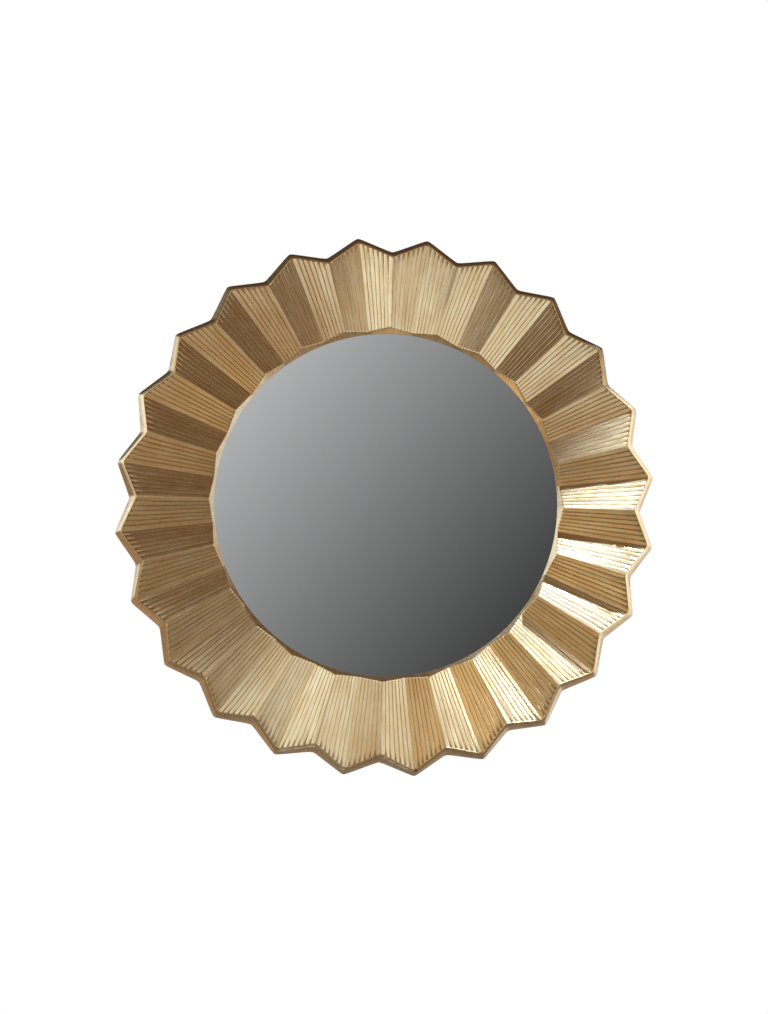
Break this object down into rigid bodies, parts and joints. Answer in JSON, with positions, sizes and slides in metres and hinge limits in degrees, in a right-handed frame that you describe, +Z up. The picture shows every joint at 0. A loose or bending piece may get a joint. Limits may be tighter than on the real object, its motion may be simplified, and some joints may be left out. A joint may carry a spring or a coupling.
{
  "type": "wall mirror",
  "caption": "Round wall mirror with a gold pleated sunburst frame: fluted facets, raised zigzag rim, flat looking glass, backing board and a keyhole hanger on the back.",
  "frame": {"origin": "the hanging place: on the wall side of the keyhole plate's bridge, on the metal just above the top of its slot, which is in the plane of the wall and of the frame's flat back", "axes": "+Z up the wall, +Y out of the back into the wall, so the looking glass faces -Y; +X to the right as the mirror is looked into"},
  "size_m": [0.7956, 0.04, 0.7956],
  "materials": {
    "frame_gold": "cast resin under burnished gold leaf with a darker glaze left in the flutes",
    "looking_glass": "silvered float glass, polished",
    "fibreboard": "raw hardboard, matte",
    "hanger_steel": "bright zinc plating"
  },
  "bodies": {
    "root": {"mirror_frame": "frame_gold", "mirror_glass": "looking_glass", "backing_board": "fibreboard", "hanger_plate": "hanger_steel", "hanger_screw_left": "hanger_steel", "hanger_screw_right": "hanger_steel"}
  },
  "joints": []
}
